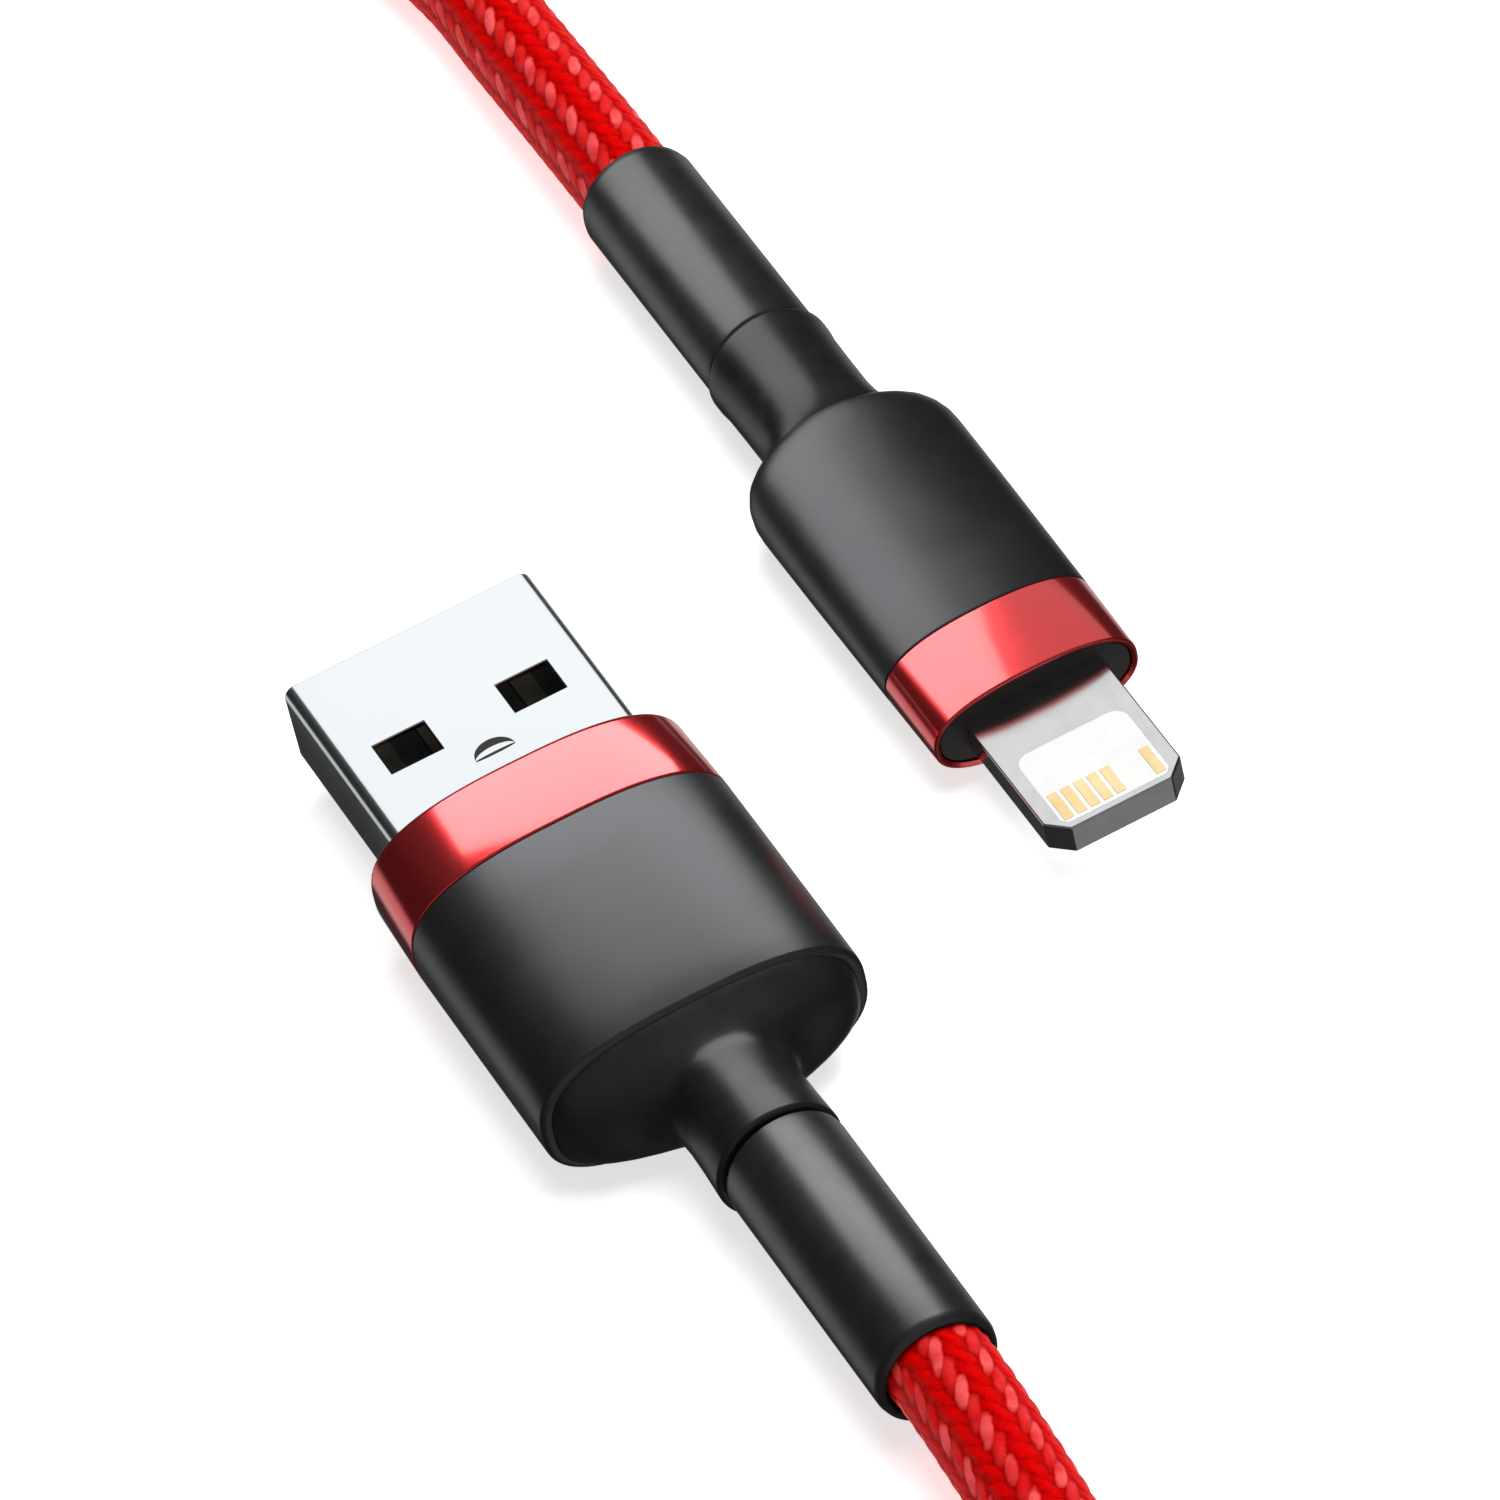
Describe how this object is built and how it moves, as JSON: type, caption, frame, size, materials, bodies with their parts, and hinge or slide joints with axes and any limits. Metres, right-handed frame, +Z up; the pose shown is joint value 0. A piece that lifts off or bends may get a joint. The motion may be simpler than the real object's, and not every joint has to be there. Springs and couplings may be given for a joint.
{
  "type": "charging cable",
  "caption": "Braided charging cable with a USB-A plug and a slim reversible tab plug, both in black housings with red metal collars; spare cord coiled and tied.",
  "frame": {"origin": "centre of the flat rest face under the USB plug's housing, on the surface the cable lies on", "axes": "+Z up from that surface; +X along the longer side of the layout, the USB plug's tip pointing 20 degrees from +X towards +Y; the tab plug points the other way beside it"},
  "size_m": [0.1675, 0.0654, 0.0114],
  "materials": {
    "steel": "bright plated steel",
    "tab_metal": "light grey plated metal",
    "contact": "pale gold plating",
    "red_metal": "glossy red anodised metal",
    "housing": "satin black",
    "dark_face": "dark brown-black",
    "insulator": "white",
    "inner": "natural white moulding",
    "braid": "woven red braid",
    "tie": "black hook-and-loop strap"
  },
  "bodies": {
    "root": {"usb_shell": "steel", "usb_tongue": "dark_face", "usb_collar": "red_metal", "usb_housing": "housing", "usb_inner_mould": "inner", "usb_rear_cap": "housing", "usb_strain_relief": "housing", "tab_frame": "tab_metal", "tab_insulator": "insulator", "tab_face": "dark_face", "tab_collar": "red_metal", "tab_housing": "housing", "tab_inner_mould": "inner", "tab_rear_cap": "housing", "tab_strain_relief": "housing", "cord_usb_run": "braid", "cord_phone_run": "braid", "cord_coil": "braid", "cord_tie": "tie", "usb_contact_1": "contact", "usb_contact_2": "contact", "usb_contact_3": "contact", "usb_contact_4": "contact", "tab_contact_top_1": "contact", "tab_contact_top_2": "contact", "tab_contact_top_3": "contact", "tab_contact_top_4": "contact", "tab_contact_top_5": "contact", "tab_contact_top_8": "contact", "tab_contact_bottom_1": "contact", "tab_contact_bottom_2": "contact", "tab_contact_bottom_3": "contact", "tab_contact_bottom_4": "contact", "tab_contact_bottom_5": "contact", "tab_contact_bottom_8": "contact"}
  },
  "joints": []
}
